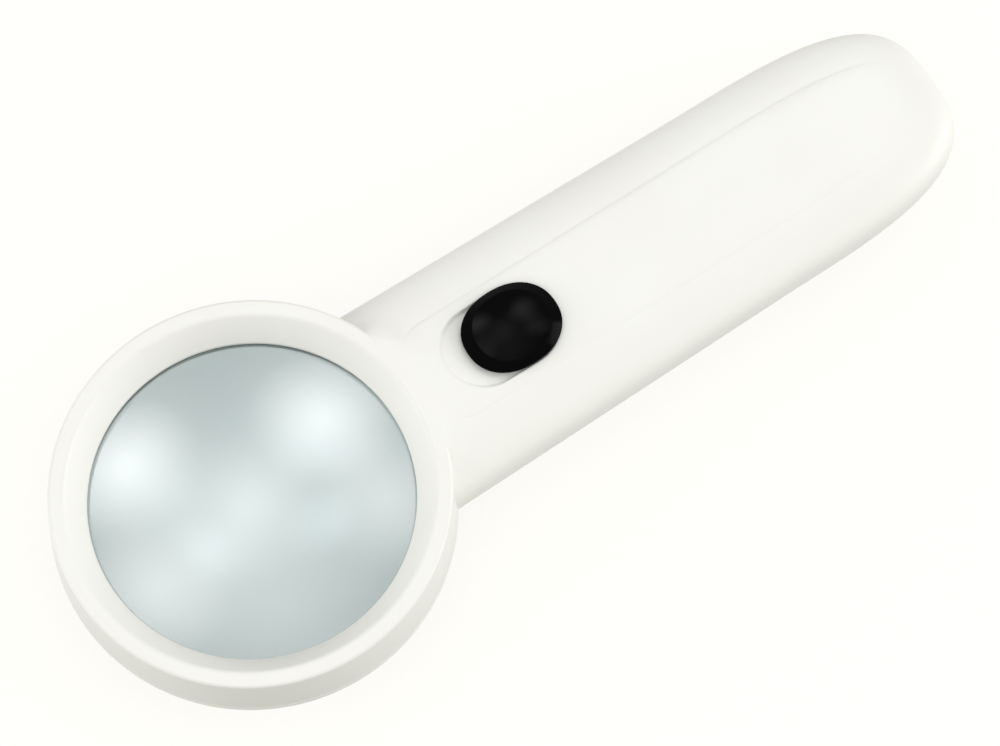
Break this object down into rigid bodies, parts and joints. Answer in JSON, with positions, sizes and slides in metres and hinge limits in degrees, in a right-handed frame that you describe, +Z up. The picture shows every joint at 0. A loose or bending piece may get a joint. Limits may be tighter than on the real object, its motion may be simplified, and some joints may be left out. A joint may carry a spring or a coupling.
{
  "type": "hand lens",
  "caption": "Lit hand magnifier: a round lens in a white plastic head on a broad battery handle, with a black thumb slide and a sliding battery cover.",
  "frame": {"origin": "middle of the footprint, on the table that the handle's belly rests on", "axes": "+X along the handle from the lens to the tail, +Z up through the switch side, +Y to the left when looking along +X"},
  "size_m": [0.1292, 0.0512, 0.0181],
  "materials": {
    "white_plastic": "satin gloss",
    "black_plastic": "gloss",
    "lens_glass": "polished, clear",
    "plated_steel": "nickel plated",
    "tinned_brass": "tinned",
    "lamp_epoxy": "water clear",
    "board_green": "solder mask",
    "insulator": "moulded phenolic",
    "resistor_black": "matt",
    "cell_jacket": "plain printed foil, no lettering",
    "red_wire": "insulated wire",
    "black_wire": "insulated wire"
  },
  "bodies": {
    "housing": {"top_shell": "white_plastic", "bottom_shell": "white_plastic", "lens_retaining_ring": "white_plastic", "lens": "lens_glass", "switch_frame": "plated_steel", "led_left_anode": "plated_steel", "led_left_cathode": "plated_steel", "led_right_anode": "plated_steel", "led_right_cathode": "plated_steel", "contact_positive": "plated_steel", "contact_negative": "plated_steel", "link_plate": "plated_steel", "spring_front": "plated_steel", "spring_tail": "plated_steel", "board_screw_left": "plated_steel", "board_screw_right": "plated_steel", "case_screw_neck_left": "plated_steel", "case_screw_neck_right": "plated_steel", "case_screw_bay_left": "plated_steel", "case_screw_bay_right": "plated_steel", "switch_terminal_front": "tinned_brass", "switch_terminal_middle": "tinned_brass", "switch_terminal_rear": "tinned_brass", "led_left": "lamp_epoxy", "led_right": "lamp_epoxy", "circuit_board": "board_green", "switch_base": "insulator", "series_resistor": "resistor_black", "battery_left": "cell_jacket", "battery_right": "cell_jacket", "wire_positive": "red_wire", "wire_negative": "black_wire"},
    "thumb_slide": {"slide_knob": "black_plastic", "switch_slider": "black_plastic", "switch_bridge": "tinned_brass"},
    "battery_door": {"battery_cover": "white_plastic"}
  },
  "joints": [
    {"name": "thumb_slide_travel", "type": "slide", "parent": "housing", "child": "thumb_slide", "axis": [-1, 0, 0], "range_m": [0, 0.0035]},
    {"name": "battery_cover_slide", "type": "slide", "parent": "housing", "child": "battery_door", "axis": [1, 0, 0], "range_m": [0, 0.06]}
  ]
}
